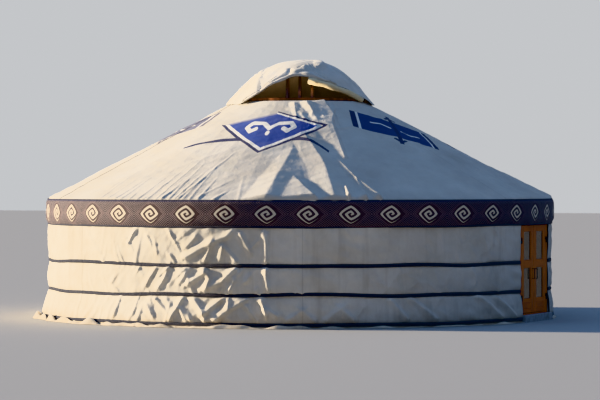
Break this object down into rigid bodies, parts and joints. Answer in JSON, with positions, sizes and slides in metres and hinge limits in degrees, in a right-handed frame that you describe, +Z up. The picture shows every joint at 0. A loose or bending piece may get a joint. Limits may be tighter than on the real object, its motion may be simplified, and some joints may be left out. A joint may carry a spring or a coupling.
{
  "type": "yurt",
  "caption": "Round felt and canvas yurt with a lattice wall, straight cone roof, open-sided domed crown cover, patterned eave band and glazed double door.",
  "frame": {"origin": "centre of the ground circle, at ground level", "axes": "+Z up; the door faces -Y; +X is on the right of someone who faces the door from outside"},
  "size_m": [7.0656, 7.0656, 3.5782],
  "materials": {
    "wall_canvas": "white cotton canvas over felt",
    "roof_canvas": "white cotton canvas over felt",
    "crown_canvas": "white cotton canvas",
    "band_cloth": "dark printed cotton over felt",
    "girth_webbing": "dark woven webbing",
    "lattice_wood": "oiled willow laths",
    "pole_wood": "oiled willow poles",
    "crown_wood": "bent and oiled wood",
    "door_wood": "orange varnish on pine",
    "door_glass": "clear window glass",
    "sill_paint": "grey paint",
    "door_metal": "black enamel"
  },
  "bodies": {
    "yurt": {"crown_bows_1": "crown_wood", "crown_bows_2": "crown_wood", "crown_cover": "crown_canvas", "crown_ring": "crown_wood", "door_frame": "door_wood", "door_sill": "sill_paint", "eave_band_1": "band_cloth", "eave_band_2": "band_cloth", "eave_band_3": "band_cloth", "eave_band_4": "band_cloth", "girth_hem": "girth_webbing", "girth_lower": "girth_webbing", "girth_upper": "girth_webbing", "hinge_frame_left": "door_metal", "hinge_frame_right": "door_metal", "lattice_1": "lattice_wood", "lattice_2": "lattice_wood", "lattice_3": "lattice_wood", "lattice_4": "lattice_wood", "lattice_5": "lattice_wood", "lattice_6": "lattice_wood", "roof_cover_1": "roof_canvas", "roof_cover_2": "roof_canvas", "roof_cover_3": "roof_canvas", "roof_poles_1": "pole_wood", "roof_poles_2": "pole_wood", "roof_poles_3": "pole_wood", "roof_poles_4": "pole_wood", "roof_poles_5": "pole_wood", "roof_poles_6": "pole_wood", "roof_poles_door": "pole_wood", "wall_cover_1": "wall_canvas", "wall_cover_2": "wall_canvas", "wall_cover_3": "wall_canvas", "wall_cover_4": "wall_canvas", "wall_cover_5": "wall_canvas", "wall_cover_6": "wall_canvas"},
    "leaf_left": {"door_leaf_left": "door_wood", "door_glass_left": "door_glass", "hinge_leaf_left": "door_metal", "door_pull_left": "door_metal"},
    "leaf_right": {"door_leaf_right": "door_wood", "door_glass_right": "door_glass", "hinge_leaf_right": "door_metal", "door_pull_right": "door_metal"}
  },
  "joints": [
    {"name": "left_leaf_hinge", "type": "hinge", "parent": "yurt", "child": "leaf_left", "pos_m": [-0.50572, -3.44292, 0.7], "axis": [0, 0, -1], "range_deg": [0, 130]},
    {"name": "right_leaf_hinge", "type": "hinge", "parent": "yurt", "child": "leaf_right", "pos_m": [0.50572, -3.44292, 0.7], "axis": [0, 0, 1], "range_deg": [0, 130]}
  ]
}
